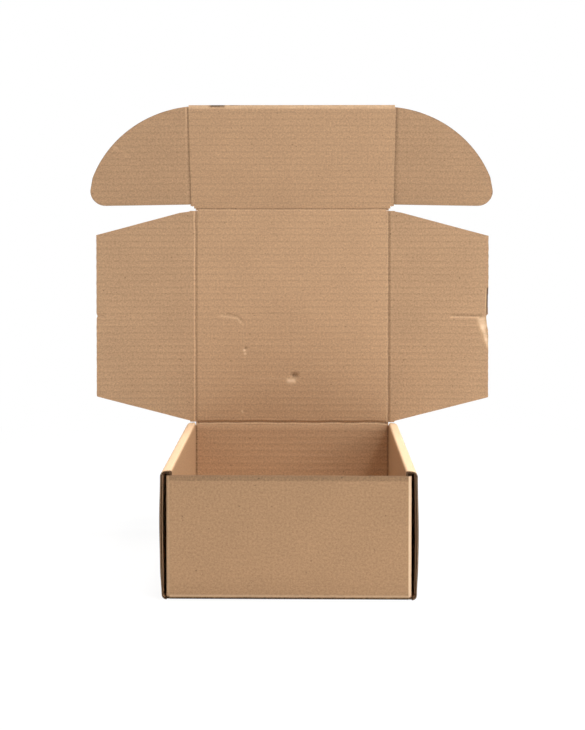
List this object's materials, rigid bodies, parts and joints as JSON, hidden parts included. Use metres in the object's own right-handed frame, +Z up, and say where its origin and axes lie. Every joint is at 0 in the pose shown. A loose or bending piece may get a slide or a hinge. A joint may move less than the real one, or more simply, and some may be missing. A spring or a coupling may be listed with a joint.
{
  "type": "open cardboard mailer box",
  "caption": "Die-cut kraft corrugated mailer box standing open: tray with rolled side walls, upright hinged lid, two dust flaps and a tuck flap with two rounded ears.",
  "frame": {"origin": "centre of the underside of the tray, on the surface it stands on", "axes": "+Z up, -Y towards the front wall, +Y towards the rear wall and the upright lid, X across the front"},
  "size_m": [0.3958, 0.2148, 0.4209],
  "materials": {
    "kraft_board": "plain brown kraft liner, matt"
  },
  "bodies": {
    "tray": {"tray": "kraft_board"},
    "lid": {"lid": "kraft_board"},
    "dust_flap_left": {"dust_flap_left": "kraft_board"},
    "dust_flap_right": {"dust_flap_right": "kraft_board"},
    "tuck_flap": {"tuck_flap": "kraft_board"},
    "ear_left": {"ear_left": "kraft_board"},
    "ear_right": {"ear_right": "kraft_board"}
  },
  "joints": [
    {"name": "lid_hinge", "type": "hinge", "parent": "tray", "child": "lid", "pos_m": [0, 0.1051, 0.1072], "axis": [1, 0, 0], "range_deg": [-20, 90]},
    {"name": "dust_flap_left_hinge", "type": "hinge", "parent": "lid", "child": "dust_flap_left", "pos_m": [-0.0959, 0.1074, 0.2136], "axis": [0, 0, 1], "range_deg": [-15, 87]},
    {"name": "dust_flap_right_hinge", "type": "hinge", "parent": "lid", "child": "dust_flap_right", "pos_m": [0.0959, 0.1074, 0.2136], "axis": [0, 0, -1], "range_deg": [-15, 87]},
    {"name": "tuck_flap_hinge", "type": "hinge", "parent": "lid", "child": "tuck_flap", "pos_m": [0, 0.1051, 0.3201], "axis": [1, 0, 0], "range_deg": [-31.7, 73.3]},
    {"name": "ear_left_hinge", "type": "hinge", "parent": "tuck_flap", "child": "ear_left", "pos_m": [-0.10105, 0.1051, 0.3201], "axis": [0, -0.2874, 0.9578], "range_deg": [-15, 87]},
    {"name": "ear_right_hinge", "type": "hinge", "parent": "tuck_flap", "child": "ear_right", "pos_m": [0.10105, 0.1051, 0.3201], "axis": [0, 0.2874, -0.9578], "range_deg": [-15, 87]}
  ]
}
